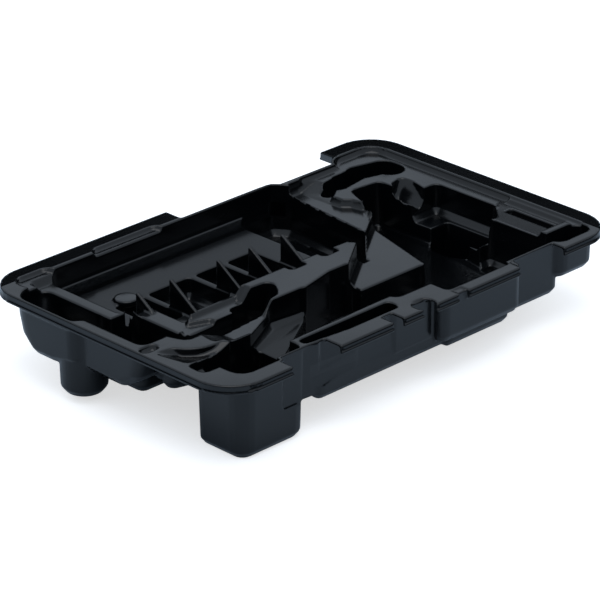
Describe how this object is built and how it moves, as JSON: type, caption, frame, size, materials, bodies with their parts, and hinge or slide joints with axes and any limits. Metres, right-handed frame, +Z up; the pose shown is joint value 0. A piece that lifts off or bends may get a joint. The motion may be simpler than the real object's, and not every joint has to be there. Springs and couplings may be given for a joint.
{
  "type": "tool case insert",
  "caption": "Thin one-piece black plastic tray with a flat rim and deep formed pockets, channels and feet that hold a hand tool and its bits in a case.",
  "frame": {"origin": "centre of the bounding box at its base, the level of the feet's undersides", "axes": "+X along the tray's length, from the deep box pocket to the corner pocket; +Y from the notched front edge to the back; +Z up, out of the pockets"},
  "size_m": [0.4018, 0.2578, 0.067],
  "materials": {
    "black_sheet": "semi-gloss black formed sheet with a fine grain"
  },
  "bodies": {
    "root": {"insert_tray": "black_sheet"}
  },
  "joints": []
}
